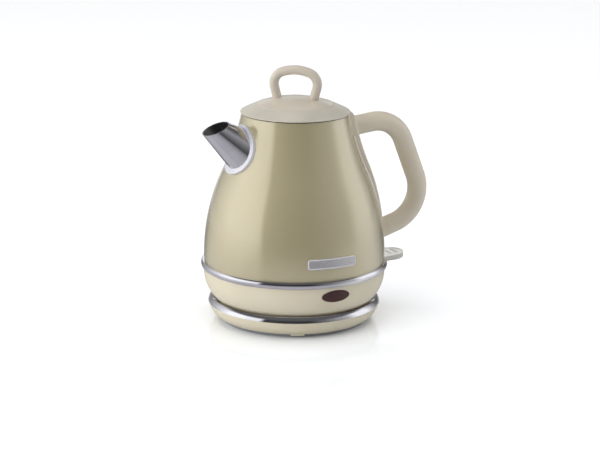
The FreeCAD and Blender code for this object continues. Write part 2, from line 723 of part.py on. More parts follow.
def build_body():
    inner_sole_r = body_radius(BODY_FOOT_Z, -BODY_WALL)
    flange_z = BODY_SOLE_Z + BODY_WALL
    shell = Outline(BODY_R - SOLE_FLANGE_W, BODY_SOLE_Z)
    shell.line(BODY_R, BODY_SOLE_Z)
    shell.line(BODY_R, BODY_FOOT_Z)
    shell.along_body(BODY_TOP_Z, 0.0)
    shell.line(MOUTH_R, BODY_TOP_Z)
    shell.line(MOUTH_R, BODY_TOP_Z - MOUTH_LIP_H)
    shell.line(MOUTH_R + BODY_WALL, BODY_TOP_Z - MOUTH_LIP_H)
    shell.line(MOUTH_R + BODY_WALL, BODY_TOP_Z - BODY_WALL)
    shell.line(body_radius(BODY_TOP_Z - BODY_WALL, -BODY_WALL), BODY_TOP_Z - BODY_WALL)
    shell.along_body(BODY_FOOT_Z, -BODY_WALL)
    shell.line(inner_sole_r, flange_z)
    shell.line(BODY_R - SOLE_FLANGE_W, flange_z)
    save("body_shell", shell.turned().cut(wall_plug(SPOUT_HOLE_R)))

    solid = Outline(0, BODY_FOOT_Z)
    solid.line(BODY_R + CONTACT_GAP, BODY_FOOT_Z)
    solid.along_body(BODY_TOP_Z, CONTACT_GAP)
    solid.line(0, BODY_TOP_Z)
    body_solid = solid.turned()
    spout = spout_cone(0.0).cut([spout_cone(-SPOUT_WALL), body_solid])
    save("spout", spout)

    low_z = SPOUT_Z - 2 * FLANGE_R
    skin = body_layer(CONTACT_GAP, FLANGE_T, low_z, BODY_TOP_Z)
    flange = flange_cone().common(skin).cut(spout_cone(SET_GAP))
    save("spout_collar", flange)

    filter_out = -BODY_WALL - FILTER_GAP
    screen_skin = body_layer(filter_out - FILTER_T, filter_out, low_z, BODY_TOP_Z - BODY_WALL)
    screen = wall_plug(FILTER_R).common(screen_skin)
    slots = []
    for step in range(FILTER_SLOTS):
        slot_y = (step - (FILTER_SLOTS - 1) / 2) * FILTER_PITCH
        slot_low_z = SPOUT_Z - FILTER_SLOT_H / 2
        corner = Vector(-BODY_R, slot_y - FILTER_SLOT_W / 2, slot_low_z)
        slots.append(Part.makeBox(BODY_R, FILTER_SLOT_W, FILTER_SLOT_H, corner))
    save("spout_filter", screen.cut(slots))

    ring = Outline(BODY_R + SET_GAP, RING_BOTTOM_Z)
    ring.line(RING_R - RING_EDGE, RING_BOTTOM_Z)
    ring.arc(RING_R, (RING_BOTTOM_Z + RING_TOP_Z) / 2, RING_R - RING_EDGE, RING_TOP_Z)
    ring.line(BODY_R + SET_GAP, RING_TOP_Z)
    save("body_trim_ring", ring.turned())
    return body_solid


def collar_skin(growth, depth):
    """Band of the lower collar's wall, from growth outside it to depth inside."""
    top_r = COLLAR_TOP_R + growth
    low_r = COLLAR_LOW_R + growth
    band = Outline(top_r, RING_BOTTOM_Z)
    band.bow(low_r, COLLAR_LOW_Z, -COLLAR_BULGE)
    band.line(low_r - depth, COLLAR_LOW_Z)
    band.bow(top_r - depth, RING_BOTTOM_Z, COLLAR_BULGE)
    return band.turned()


def lens_prism(growth):
    """Oval prism through the collar on the -Y side."""
    oval = Part.Ellipse(ORIGIN, LENS_HALF_W + growth, LENS_HALF_H + growth).toShape()
    face = Part.Face(Part.Wire(oval))
    face.rotate(ORIGIN, Vector(1, 0, 0), 90)
    face.translate(Vector(0, -COLLAR_LOW_R + COLLAR_WALL, LENS_Z))
    return face.extrude(Vector(0, -LONG, 0))


def build_collar():
    lip_top_z = COLLAR_FOOT_Z + COLLAR_LIP_T
    rebate_r = COLLAR_TOP_R - COLLAR_REBATE
    rebate_z = BODY_SOLE_Z - SET_GAP
    wall = Outline(COLLAR_LIP_R, COLLAR_FOOT_Z)
    wall.line(COLLAR_FOOT_R, COLLAR_FOOT_Z)
    wall.bow(COLLAR_LOW_R, COLLAR_LOW_Z, COLLAR_FOOT_ROUND)
    wall.bow(COLLAR_TOP_R, RING_BOTTOM_Z - SET_GAP, COLLAR_BULGE)
    wall.line(rebate_r, RING_BOTTOM_Z - SET_GAP)
    wall.line(rebate_r, rebate_z)
    wall.line(COLLAR_TOP_R - COLLAR_WALL, rebate_z)
    wall.bow(COLLAR_LOW_R - COLLAR_WALL, COLLAR_LOW_Z + SET_GAP, -COLLAR_BULGE)
    wall.line(COLLAR_FOOT_R - COLLAR_WALL / 2, lip_top_z)
    wall.line(COLLAR_LIP_R, lip_top_z)
    collar = wall.turned()

    screw_angles = spread(SCREW_COUNT, SOLE_SCREW_FIRST_DEG)
    boss_low_z = lip_top_z + SET_GAP
    boss_top_z = boss_low_z + SOLE_BOSS_H
    boss = cylinder(BOSS_R, boss_low_z, boss_top_z, SOLE_SCREW_RING_R)
    rib_end_x = COLLAR_LOW_R - COLLAR_WALL / 2
    rib_low_z = COLLAR_LOW_Z + 2 * SET_GAP
    rib = block(SOLE_SCREW_RING_R, rib_end_x, RIB_T / 2, rib_low_z, boss_top_z)
    head_z = SOLE_Z + SET_GAP
    pilot = screw_hole(SOLE_SCREW_RING_R, boss_low_z, head_z + SCREW_HEAD_H + SOLE_SCREW_L + SET_GAP)
    lever_dip = math.radians(LEVER_SWING_DEG - LEVER_TILT_DEG)
    lever_drop = (COLLAR_TOP_R - PIVOT_X) * math.sin(lever_dip)
    slot_low_z = LEVER_TOP_Z - LEVER_T - lever_drop - RUN_GAP
    lever_slot = block(PIVOT_X, LONG, LEVER_HALF_W + RUN_GAP, slot_low_z, RING_BOTTOM_Z - SET_GAP)
    collar = collar.fuse(around(boss.fuse(rib), screw_angles))
    collar = collar.cut(around(pilot, screw_angles) + [lens_prism(SET_GAP), lever_slot])
    save("lower_collar", collar.removeSplitter())
    save("indicator_lens", collar_skin(LENS_PROUD, LENS_T).common(lens_prism(0.0)))

    guide_r = HUB_R + 2 * RUN_GAP + SOCKET_WALL + CONTROL_SKIRT_T + SET_GAP
    rim_in_r = SOLE_RIM_R - SOLE_RIM_W
    edge_r = COLLAR_LIP_R - SET_GAP
    sole = Outline(guide_r, COLLAR_FOOT_Z)
    sole.line(rim_in_r - COLLAR_LIP_T / 2, COLLAR_FOOT_Z)
    sole.line(rim_in_r, SOLE_Z)
    sole.line(SOLE_RIM_R, SOLE_Z)
    sole.line(edge_r, COLLAR_FOOT_Z)
    sole.line(edge_r, lip_top_z)
    sole.line(guide_r + COLLAR_LIP_T, lip_top_z)
    sole.line(guide_r + COLLAR_LIP_T, CONTROL_SHELF_Z - SET_GAP)
    sole.line(guide_r, CONTROL_SHELF_Z - SET_GAP)
    head_seat = cylinder(SCREW_HEAD_R + SET_GAP, SOLE_Z, head_z + SCREW_HEAD_H, SOLE_SCREW_RING_R)
    head_hole = screw_hole(SOLE_SCREW_RING_R, SOLE_Z, lip_top_z)
    sole_cuts = around(head_seat, screw_angles) + around(head_hole, screw_angles)
    save("bottom_cover", sole.turned().cut(sole_cuts))
    save("bottom_screws", around(screw(SOLE_SCREW_RING_R, head_z, SOLE_SCREW_L), screw_angles))

    lamp_y = COLLAR_TOP_R - LAMP_DEPTH
    lamp_start = Vector(-LAMP_L / 2, -lamp_y, LENS_Z)
    save("indicator_lamp", Part.makeCylinder(LAMP_R, LAMP_L, lamp_start, Vector(1, 0, 0)))
    shelf_top_z = LENS_Z - LAMP_R - SET_GAP
    shelf_low_z = shelf_top_z - HOLDER_T
    leg_y = COLLAR_FOOT_R - COLLAR_WALL
    shelf_corner = Vector(-HOLDER_HALF_W, -lamp_y - LAMP_R, shelf_low_z)
    shelf_l = lamp_y + LAMP_R - leg_y + HOLDER_LEG_T
    shelf = Part.makeBox(2 * HOLDER_HALF_W, shelf_l, HOLDER_T, shelf_corner)
    leg_corner = Vector(-HOLDER_LEG_W / 2, -leg_y, lip_top_z)
    leg = Part.makeBox(HOLDER_LEG_W, HOLDER_LEG_T, shelf_top_z - lip_top_z, leg_corner)
    save("lamp_holder", shelf.fuse(leg).removeSplitter())
    return lip_top_z


def build_switch(floor_z):
    lever_low_z = LEVER_TOP_Z - LEVER_T
    nose_x = LEVER_TIP_X - LEVER_NOSE
    left = Vector(PIVOT_X, LEVER_HALF_W, lever_low_z)
    right = Vector(PIVOT_X, -LEVER_HALF_W, lever_low_z)
    nose_left = Vector(nose_x, LEVER_HALF_W, lever_low_z)
    nose_right = Vector(nose_x, -LEVER_HALF_W, lever_low_z)
    tip = Vector(LEVER_TIP_X, 0, lever_low_z)
    plan = [
        Part.LineSegment(left, right).toShape(),
        Part.LineSegment(right, nose_right).toShape(),
        Part.Arc(nose_right, tip, nose_left).toShape(),
        Part.LineSegment(nose_left, left).toShape(),
    ]
    paddle = Part.Face(Part.Wire(plan)).extrude(Vector(0, 0, LEVER_T))
    hub_start = Vector(PIVOT_X, -LEVER_HALF_W, PIVOT_Z)
    across = Vector(0, 1, 0)
    paddle.rotate(hub_start, across, -LEVER_TILT_DEG)
    hub = Part.makeCylinder(PIVOT_HUB_R, 2 * LEVER_HALF_W, hub_start, across)
    bore = Part.makeCylinder(PIN_R + PIN_GAP, 2 * LEVER_HALF_W, hub_start, across)
    save("switch_lever", paddle.fuse(hub).cut(bore).removeSplitter())

    inside_y = LEVER_HALF_W + RUN_GAP
    outside_y = inside_y + EAR_T
    pin_start = Vector(PIVOT_X, -outside_y, PIVOT_Z)
    save("switch_pin", Part.makeCylinder(PIN_R, 2 * outside_y, pin_start, across))

    floor_low_z = BRACKET_FLOOR_Z - BRACKET_FLOOR_T
    floor = block(BRACKET_LEG_X, PIVOT_X + EAR_R, outside_y, floor_low_z, BRACKET_FLOOR_Z)
    tongue = block(PIVOT_X, BRACKET_END_X, BRACKET_TONGUE_HALF_W, floor_low_z, BRACKET_FLOOR_Z)
    leg = block(BRACKET_LEG_X, BRACKET_LEG_X + BRACKET_LEG_T, outside_y, floor_z, floor_low_z)
    ear = block(PIVOT_X - EAR_R, PIVOT_X + EAR_R, outside_y, BRACKET_FLOOR_Z, PIVOT_Z)
    ear_round = Part.makeCylinder(EAR_R, 2 * outside_y, pin_start, across)
    between = block(PIVOT_X - LONG, LONG, inside_y, BRACKET_FLOOR_Z, LONG)
    pin_hole = Part.makeCylinder(PIN_R + CONTACT_GAP, 2 * outside_y, pin_start, across)
    bracket = floor.fuse([tongue, leg, ear.fuse(ear_round).cut(between)])
    save("switch_bracket", bracket.cut(pin_hole).removeSplitter())

    coil_low_z = BRACKET_FLOOR_Z + SPRING_WIRE_R + SET_GAP
    coil_h = lever_low_z - SPRING_WIRE_R - SET_GAP - coil_low_z
    helix = Part.makeHelix(coil_h / SPRING_TURNS, coil_h, SPRING_R)
    wire_circle = Part.makeCircle(SPRING_WIRE_R, Vector(SPRING_R, 0, 0), Vector(0, 1, 0))
    coil = Part.Wire(helix).makePipeShell([Part.Wire(wire_circle)], True, True)
    coil.translate(Vector(SPRING_X, 0, coil_low_z))
    save("lever_spring", coil)

    disc_x = BRACKET_LEG_X - STEAM_DISC_T
    disc_z = (floor_z + BRACKET_FLOOR_Z) / 2
    disc_start = Vector(disc_x, 0, disc_z)
    save("steam_bimetal", Part.makeCylinder(STEAM_DISC_R, STEAM_DISC_T, disc_start, Vector(1, 0, 0)))


def body_arc(end):
    """Centre of the body arc that runs from the waist to end."""
    return Vector(WAIST_R, 0, WAIST_Z) + waist_normal() * body_arc_centre(end)


def strip_section(at, normal):
    """Cross-section of the handle strip, rounded at its outer corners."""
    across = Vector(0, 1, 0)
    back = at - normal * STRIP_BACK
    shoulder = at + normal * (STRIP_T - STRIP_EDGE)
    front = at + normal * STRIP_T
    bulge = at + normal * (STRIP_T - STRIP_EDGE * (1 - math.sqrt(0.5)))
    flat = STRIP_HALF_W - STRIP_EDGE
    round_y = flat + STRIP_EDGE * math.sqrt(0.5)
    edges = [
        Part.LineSegment(back - across * STRIP_HALF_W, shoulder - across * STRIP_HALF_W).toShape(),
        Part.Arc(shoulder - across * STRIP_HALF_W, bulge - across * round_y, front - across * flat).toShape(),
        Part.LineSegment(front - across * flat, front + across * flat).toShape(),
        Part.Arc(front + across * flat, bulge + across * round_y, shoulder + across * STRIP_HALF_W).toShape(),
        Part.LineSegment(shoulder + across * STRIP_HALF_W, back + across * STRIP_HALF_W).toShape(),
        Part.LineSegment(back + across * STRIP_HALF_W, back - across * STRIP_HALF_W).toShape(),
    ]
    return Part.Face(Part.Wire(edges))


def strip_bend(z_from, z_to, centre, turn_axis):
    """Part of the handle strip that follows one arc of the body."""
    start = Vector(body_radius(z_from), 0, z_from)
    end = Vector(body_radius(z_to), 0, z_to)
    turn = (start - centre).getAngle(end - centre)
    normal = (start - centre).normalize()
    if normal.x < 0:
        normal = normal * -1
    return strip_section(start, normal).revolve(centre, turn_axis, math.degrees(turn))


def end_bevel(z_tip, z_full):
    """Wedge that thins the strip toward one of its ends."""
    beyond = z_tip + (z_tip - z_full)
    clear = STRIP_T + STRIP_BACK
    wedge = Outline(body_radius(z_tip, STRIP_THIN), z_tip)
    wedge.line(body_radius(z_full, STRIP_T), z_full)
    wedge.line(body_radius(z_full, clear), z_full)
    wedge.line(body_radius(z_tip, clear), beyond)
    wedge.line(body_radius(z_tip, STRIP_THIN), beyond)
    return wedge.slab(2 * STRIP_HALF_W)


def build_handle(body_solid):
    low_centre = body_arc(Vector(BODY_R, 0, BODY_FOOT_Z))
    high_centre = body_arc(Vector(BODY_TOP_R, 0, BODY_TOP_Z))
    low_strip = strip_bend(STRIP_FOOT_Z, WAIST_Z, low_centre, Vector(0, -1, 0))
    high_strip = strip_bend(WAIST_Z, STRIP_TOP_Z, high_centre, Vector(0, 1, 0))
    bevels = [end_bevel(STRIP_FOOT_Z, STRIP_FULL_Z), end_bevel(STRIP_TOP_Z, STRIP_SHOULDER_Z)]
    strip = low_strip.fuse(high_strip).cut(bevels + [body_solid])

    corners = [GRIP_TOP_START, GRIP_TOP_CORNER, GRIP_LOW_CORNER, GRIP_LOW_END]
    rod = bent_rod(corners, [GRIP_TOP_BEND, GRIP_LOW_BEND], GRIP_R)
    behind = Outline(0, BODY_SOLE_Z)
    behind.line(body_radius(BODY_SOLE_Z, STRIP_T + CONTACT_GAP), BODY_SOLE_Z)
    behind.along_body(STRIP_TOP_Z, STRIP_T + CONTACT_GAP)
    behind.line(0, STRIP_TOP_Z)
    grip = rod.cut(behind.slab(2 * STRIP_HALF_W))

    studs = []
    stud_holes = []
    for end, corner in ((GRIP_TOP_START, GRIP_TOP_CORNER), (GRIP_LOW_END, GRIP_LOW_CORNER)):
        start = Vector(end[0], 0, end[1])
        way = (Vector(corner[0], 0, corner[1]) - start).normalize()
        studs.append(Part.makeCylinder(STUD_R, STUD_L, start, way).cut(body_solid))
        stud_holes.append(Part.makeCylinder(STUD_R + CONTACT_GAP, STUD_L + SET_GAP, start, way))
    save("handle_spine", strip.cut(stud_holes))
    save("handle_grip", grip.cut(stud_holes).removeSplitter())
    save("handle_studs", studs)


def build_lid():
    rim_z = BODY_TOP_Z + LID_GAP
    rim_top_z = rim_z + LID_RIM_H
    seat_r = DISC_EDGE_R + SET_GAP
    brow_z = rim_z + LID_RISE
    land_z = BODY_TOP_Z + LID_REST
    shelf_z = land_z + LID_SHELF_T
    cover = Outline(LID_R - LID_SKIN, rim_z)
    cover.line(LID_R, rim_z)
    cover.bow(LID_R - LID_RIM_IN, rim_top_z, LID_RIM_ROUND)
    cover.bow(seat_r, brow_z, LID_CROWN)
    cover.line(seat_r, shelf_z)
    cover.line(LID_SHELF_R, shelf_z)
    cover.line(LID_SHELF_R, land_z)
    cover.line(LID_LAND_R, land_z)
    save("lid_cover", cover.turned())

    disc_low_z = shelf_z + SET_GAP
    disc_edge_z = brow_z + DISC_STEP
    disc = Outline(0, disc_low_z)
    disc.line(DISC_EDGE_R, disc_low_z)
    disc.line(DISC_EDGE_R, disc_edge_z - DISC_ROUND)
    disc.bow(DISC_EDGE_R - DISC_ROUND, disc_edge_z, DISC_ROUND / 4)
    disc.dome(disc_edge_z + DISC_DOME)
    loop_feet = [(-LOOP_FOOT_X, disc_low_z + LOOP_R), (LOOP_FOOT_X, disc_low_z + LOOP_R)]
    loop_corners = [(-LOOP_CORNER_X, LOOP_CORNER_Z), (0, LOOP_TOP_Z), (LOOP_CORNER_X, LOOP_CORNER_Z)]
    loop_points = [loop_feet[0]] + loop_corners + [loop_feet[1]]
    loop = bent_rod(loop_points, [LOOP_BEND, LOOP_ARCH_BEND, LOOP_BEND], LOOP_R)
    below = cylinder(DISC_EDGE_R, disc_low_z - LOOP_R, disc_low_z)
    plug_floor_z = rim_z - PLUG_DEPTH + PLUG_FLOOR_T
    boss = cylinder(BOSS_R, plug_floor_z, disc_low_z + SET_GAP, LID_SCREW_X)
    head_z = plug_floor_z - PLUG_FLOOR_T - SCREW_HEAD_H
    pilot = screw_hole(LID_SCREW_X, plug_floor_z, head_z + SCREW_HEAD_H + LID_SCREW_L + SET_GAP)
    both = spread(2, 0.0)
    knob = disc.turned().fuse(loop.cut(below)).fuse(around(boss, both)).cut(around(pilot, both))
    save("lid_knob", turned_by(knob.removeSplitter(), LOOP_TURN_DEG))

    plug_low_z = rim_z - PLUG_DEPTH
    seal_in_r = PLUG_R - LID_SEAL_SINK
    plug = cylinder(PLUG_R, plug_low_z, land_z)
    plug = plug.cut(cylinder(PLUG_R - PLUG_WALL, plug_floor_z, land_z))
    seal_top_z = LID_SEAL_Z + LID_SEAL_H
    groove = tube(PLUG_R, seal_in_r, LID_SEAL_Z, seal_top_z)
    plug_hole = screw_hole(LID_SCREW_X, plug_low_z, plug_floor_z)
    plug = plug.cut([groove] + around(turned_by(plug_hole, LOOP_TURN_DEG), both))
    save("lid_plug", plug)
    seal_low_z = LID_SEAL_Z + CONTACT_GAP
    seal_high_z = seal_top_z - CONTACT_GAP
    save("lid_seal", tube(PLUG_R + LID_SEAL_PROUD, seal_in_r + CONTACT_GAP, seal_low_z, seal_high_z))
    lid_screw = turned_by(screw(LID_SCREW_X, head_z, LID_SCREW_L), LOOP_TURN_DEG)
    save("lid_screws", around(lid_screw, both))


os.makedirs("parts", exist_ok=True)
build_base()
build_heater(build_connector())
kettle_body = build_body()
build_switch(build_collar())
build_handle(kettle_body)
build_lid()
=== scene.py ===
import bpy
import bmesh
import json
import math
from mathutils import Matrix, Vector


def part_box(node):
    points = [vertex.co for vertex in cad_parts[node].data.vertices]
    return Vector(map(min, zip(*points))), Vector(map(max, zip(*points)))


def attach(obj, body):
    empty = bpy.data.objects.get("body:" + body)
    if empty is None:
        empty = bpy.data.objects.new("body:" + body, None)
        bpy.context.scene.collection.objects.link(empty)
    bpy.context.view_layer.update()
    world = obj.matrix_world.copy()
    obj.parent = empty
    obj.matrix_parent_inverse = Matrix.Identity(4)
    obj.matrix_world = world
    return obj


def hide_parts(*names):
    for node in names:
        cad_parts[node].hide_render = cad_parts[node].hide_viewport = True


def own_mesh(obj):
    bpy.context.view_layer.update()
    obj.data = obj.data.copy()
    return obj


# Electric kettle on its power base: looks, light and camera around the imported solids.
# Metres, Z up, the table at Z 0, the spout to -X and the indicator lens to -Y.

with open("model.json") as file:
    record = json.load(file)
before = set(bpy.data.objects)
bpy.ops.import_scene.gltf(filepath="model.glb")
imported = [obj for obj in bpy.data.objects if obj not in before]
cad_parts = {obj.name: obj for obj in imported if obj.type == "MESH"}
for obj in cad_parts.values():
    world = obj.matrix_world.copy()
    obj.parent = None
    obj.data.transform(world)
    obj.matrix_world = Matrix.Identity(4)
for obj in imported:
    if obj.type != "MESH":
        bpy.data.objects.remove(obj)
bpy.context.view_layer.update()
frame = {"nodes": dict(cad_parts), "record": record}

# Camera, as in the photograph
CAMERA_TURN = math.radians(-27.0)
CAMERA_DISTANCE = 1.6
CAMERA_HEIGHT = 0.493
CAMERA_PITCH = math.radians(14.6)
CAMERA_ROLL = math.radians(0.5)
FOCAL_MM = 122.1
SENSOR_MM = 36.0
SHIFT_X = 0.0093
TO_CAMERA = (math.sin(CAMERA_TURN), -math.cos(CAMERA_TURN), 0)
FROM_CAMERA = (-math.sin(CAMERA_TURN), math.cos(CAMERA_TURN), 0)
CAMERA_RIGHT = (math.cos(CAMERA_TURN), math.sin(CAMERA_TURN), 0)

# Table and lamps
FLOOR_HALF = 6.0
FLOOR_Z = -0.0003
FLOOR_GLOW = 0.285
FLOOR_SHADE_REACH = 0.16
LAMP_AIM_Z = 0.1
WHITE = (1.0, 1.0, 1.0, 1.0)

# Lamps: name, degrees to the right of the camera, height, distance, size, power
LAMPS = (
    ("lamp_top", 0.0, 2.0, 0.02, 2.0, 21.0),
    ("lamp_left", -44.0, 0.6, 1.5, 1.4, 12.8),
    ("lamp_right", 60.0, 0.4, 1.5, 1.0, 2.5),
    ("lamp_edge_left", -108.0, 0.5, 1.5, 1.0, 5.0),
    ("lamp_edge_right", 108.0, 0.5, 1.5, 1.0, 2.6),
)

# Light of the surroundings: degrees to the right of the camera, level at that side
SIDE_LEVELS = (
    (-180, 0.15), (-150, 0.3), (-132, 0.55), (-110, 0.95), (-95, 1.28), (-72, 1.25),
    (-46, 1.02), (-40, 0.06), (20, 0.04), (30, 0.1), (56, 0.28), (78, 0.5),
    (93, 1.14), (116, 1.14), (130, 0.5), (142, 0.14), (180, 0.08),
)

# The overhead light and the white backdrop fade in between two stops. A stop is how far a unit
# direction points up or, for the backdrop's sides, away from the camera.
OVERHEAD_LEVEL = 0.12
OVERHEAD_STOPS = ((0.48, 0.0), (0.64, 1.0))
BACKDROP_SIDE_STOPS = ((0.9, 0.0), (0.94, 1.0))
BACKDROP_LOW_STOPS = ((0.05, 0.0), (0.11, 1.0))

# Bare plate on the side of the body
BADGE_ANGLE = math.radians(-92.3)
BADGE_Z = 0.0628
BADGE_HALF_LENGTH = 0.0208
BADGE_HALF_HEIGHT = 0.0041
BADGE_CORNER = 0.0021
BADGE_FRAME_W = 0.0012
BADGE_PLATE_INSET = BADGE_FRAME_W / 2
BADGE_FRAME_H = 0.0011
BADGE_PLATE_H = 0.0006
BADGE_SINK = 0.0002

# Grip ribs on the lever
RIB_COUNT = 2
RIB_PITCH = 0.0057
RIB_HALF_LENGTH = 0.0062
RIB_R = 0.0003
RIB_SIDES = 16
RIB_FIRST_FROM_TIP = 0.0078

# Starts of the rays that find the body's wall and the lever's top
OUTSIDE_R = 0.2
ABOVE_LEVER_Z = 0.1


def srgb(red, green, blue):
    """Linear colour from the 0 to 255 values that a screen shows."""
    linear = []
    for value in (red, green, blue):
        share = value / 255
        linear.append(share / 12.92 if share <= 0.04045 else ((share + 0.055) / 1.055) ** 2.4)
    return (*linear, 1.0)


class Nodes:
    """Node tree while it is being wired."""

    def __init__(self, tree):
        self.tree = tree

    def add(self, kind):
        """New node of a kind."""
        return self.tree.nodes.new(kind)

    def put(self, socket, value):
        """Link a socket to an output, or set it to a constant."""
        if isinstance(value, bpy.types.NodeSocket):
            self.tree.links.new(value, socket)
        else:
            socket.default_value = value

    def math(self, operation, first, second=0.0):
        """Sum, product or other result of two numbers."""
        node = self.add("ShaderNodeMath")
        node.operation = operation
        self.put(node.inputs[0], first)
        self.put(node.inputs[1], second)
        return node.outputs[0]

    def vector(self, operation, first, second=(0, 0, 0)):
        """Result of one or two vectors, which is a number for a length or a dot product."""
        node = self.add("ShaderNodeVectorMath")
        node.operation = operation
        self.put(node.inputs[0], first)
        self.put(node.inputs[1], second)
        return node.outputs["Value" if operation in ("DOT_PRODUCT", "LENGTH") else "Vector"]

    def between(self, factor, first, second):
        """Number between two numbers."""
        node = self.add("ShaderNodeMix")
        node.data_type = "FLOAT"
        self.put(node.inputs[0], factor)
        self.put(node.inputs[2], first)
        self.put(node.inputs[3], second)
        return node.outputs[0]

    def ramp(self, factor, stops):
        """Level that follows a factor from stop to stop, each a factor and its level."""
        node = self.add("ShaderNodeValToRGB")
        self.put(node.inputs[0], factor)
        elements = node.color_ramp.elements
        while len(elements) > 1:
            elements.remove(elements[-1])
        elements[0].position = stops[0][0]
        elements[0].color = (stops[0][1],) * 3 + (1.0,)
        for position, level in stops[1:]:
            elements.new(position).color = (level,) * 3 + (1.0,)
        return node.outputs["Color"]

    def in_view(self, rays):
        """1 for what the camera sees, also through clear plastic, and 0 for reflections and light."""
        return self.math("MAXIMUM", rays.outputs["Is Camera Ray"], rays.outputs["Is Transmission Ray"])


class Paint(Nodes):
    """One procedural material while its nodes are being wired."""

    def __init__(self, name):
        self.material = bpy.data.materials.new(name)
        self.material.use_nodes = True
        super().__init__(self.material.node_tree)
        self.shader = self.tree.nodes["Principled BSDF"]
        coordinates = self.add("ShaderNodeTexCoord")
        self.place = coordinates.outputs["Object"]
        self.normal = coordinates.outputs["Normal"]

    def set(self, **values):
        """Set or link inputs of the shader by their names."""
        for name, value in values.items():
            self.put(self.shader.inputs[name.replace("_", " ")], value)

    def stretched(self, scale):
        """Object coordinates scaled by a vector."""
        node = self.add("ShaderNodeMapping")
        node.inputs["Scale"].default_value = scale
        self.put(node.inputs["Vector"], self.place)
        return node.outputs["Vector"]

    def noise(self, scale, detail=2.0, stretch=None):
        """Soft noise over the piece, finer at a larger scale."""
        node = self.add("ShaderNodeTexNoise")
        node.inputs["Scale"].default_value = scale
        node.inputs["Detail"].default_value = detail
        self.put(node.inputs["Vector"], self.stretched(stretch) if stretch else self.place)
        return node.outputs["Fac"]

    def flakes(self, scale):
        """Random grey value for each small cell."""
        node = self.add("ShaderNodeTexVoronoi")
        node.inputs["Scale"].default_value = scale
        self.put(node.inputs["Vector"], self.place)
        parts = self.add("ShaderNodeSeparateColor")
        self.put(parts.inputs[0], node.outputs["Color"])
        return parts.outputs[0]

    def spread(self, factor, low, high, start=0.3, end=0.7):
        """Move a factor from one range into another and hold it there."""
        node = self.add("ShaderNodeMapRange")
        self.put(node.inputs["Value"], factor)
        node.inputs["From Min"].default_value = start
        node.inputs["From Max"].default_value = end
        node.inputs["To Min"].default_value = low
        node.inputs["To Max"].default_value = high
        return node.outputs["Result"]

    def mix(self, factor, first, second):
        """Colour between two colours."""
        node = self.add("ShaderNodeMix")
        node.data_type = "RGBA"
        self.put(node.inputs["Factor"], factor)
        self.put(node.inputs[6], first)
        self.put(node.inputs[7], second)
        return node.outputs[2]

    def mottled(self, factor, dark, light):
        """Colour that wanders between two shades as a noise does."""
        return self.mix(self.spread(factor, 0.0, 1.0), dark, light)

    def bump(self, height, strength, depth):
        """Fine relief from a noise."""
        node = self.add("ShaderNodeBump")
        node.inputs["Strength"].default_value = strength
        node.inputs["Distance"].default_value = depth
        self.put(node.inputs["Height"], height)
        self.put(self.shader.inputs["Normal"], node.outputs["Normal"])
        return self

    def facing_axis(self, point, direction):
        """1 where a wall faces the axis through point, 0 where it faces away."""
        along = Vector(direction).normalized()
        offset = self.vector("SUBTRACT", self.place, tuple(point))
        reach = self.vector("DOT_PRODUCT", offset, tuple(along))
        node = self.add("ShaderNodeVectorMath")
        node.operation = "SCALE"
        node.inputs[0].default_value = tuple(along)
        self.put(node.inputs["Scale"], reach)
        radial = self.vector("SUBTRACT", offset, node.outputs["Vector"])
        outward = self.vector("DOT_PRODUCT", radial, self.normal)
        return self.math("LESS_THAN", outward, 0.0)


# Materials

def cream_plastic(name, dark, light, roughness, coat):
    """Moulded cream plastic with faint mottling and a fine satin grain."""
    paint = Paint(name)
    cloud = paint.noise(38.0, 3.0)
    grain = paint.noise(2600.0, 2.0)
    broad = paint.math("MULTIPLY", cloud, 0.75)
    tone = paint.math("ADD", broad, paint.math("MULTIPLY", grain, 0.25))
    paint.set(Base_Color=paint.mottled(tone, dark, light))
    paint.set(Roughness=paint.spread(grain, roughness - 0.05, roughness + 0.06))
    paint.set(Coat_Weight=coat, Coat_Roughness=0.18, Subsurface_Weight=0.06, Subsurface_Scale=0.002)
    return paint.bump(grain, 0.05, 0.0002).material


def body_paint():
    """Champagne metallic paint outside and brushed steel inside, both with a clear coat."""
    paint = Paint("body_paint")
    flake = paint.flakes(5200.0)
    cloud = paint.noise(9.0, 1.0)
    sparkle = paint.math("MULTIPLY", flake, 0.3)
    tone = paint.math("ADD", sparkle, paint.math("MULTIPLY", cloud, 0.7))
    lacquer = paint.mottled(tone, srgb(192, 181, 145), srgb(197, 186, 150))
    streak = paint.noise(260.0, 3.0, (1.0, 1.0, 14.0))
    steel = paint.mottled(streak, srgb(150, 150, 150), srgb(192, 192, 193))
    inside = paint.facing_axis((0, 0, 0), (0, 0, 1))
    paint.set(Base_Color=paint.mix(inside, lacquer, steel))
    paint.set(Metallic=paint.between(inside, 0.25, 0.6), IOR=1.8)
    paint.set(Roughness=paint.between(inside, paint.spread(flake, 0.2, 0.23), 0.3))
    paint.set(Coat_Weight=1.0, Coat_Roughness=0.05, Coat_IOR=1.8)
    return paint.bump(paint.noise(160.0, 1.0), 0.006, 0.0003).material


def lid_paint():
    """Satin paint of the lid."""
    paint = Paint("lid_paint")
    grain = paint.noise(1900.0, 2.0)
    cloud = paint.noise(30.0, 2.0)
    paint.set(Base_Color=paint.mottled(cloud, srgb(203, 197, 183), srgb(214, 208, 195)))
    paint.set(Metallic=0.12, Coat_Weight=0.2, Coat_Roughness=0.3)
    paint.set(Roughness=paint.spread(grain, 0.36, 0.46))
    return paint.bump(grain, 0.04, 0.0002).material


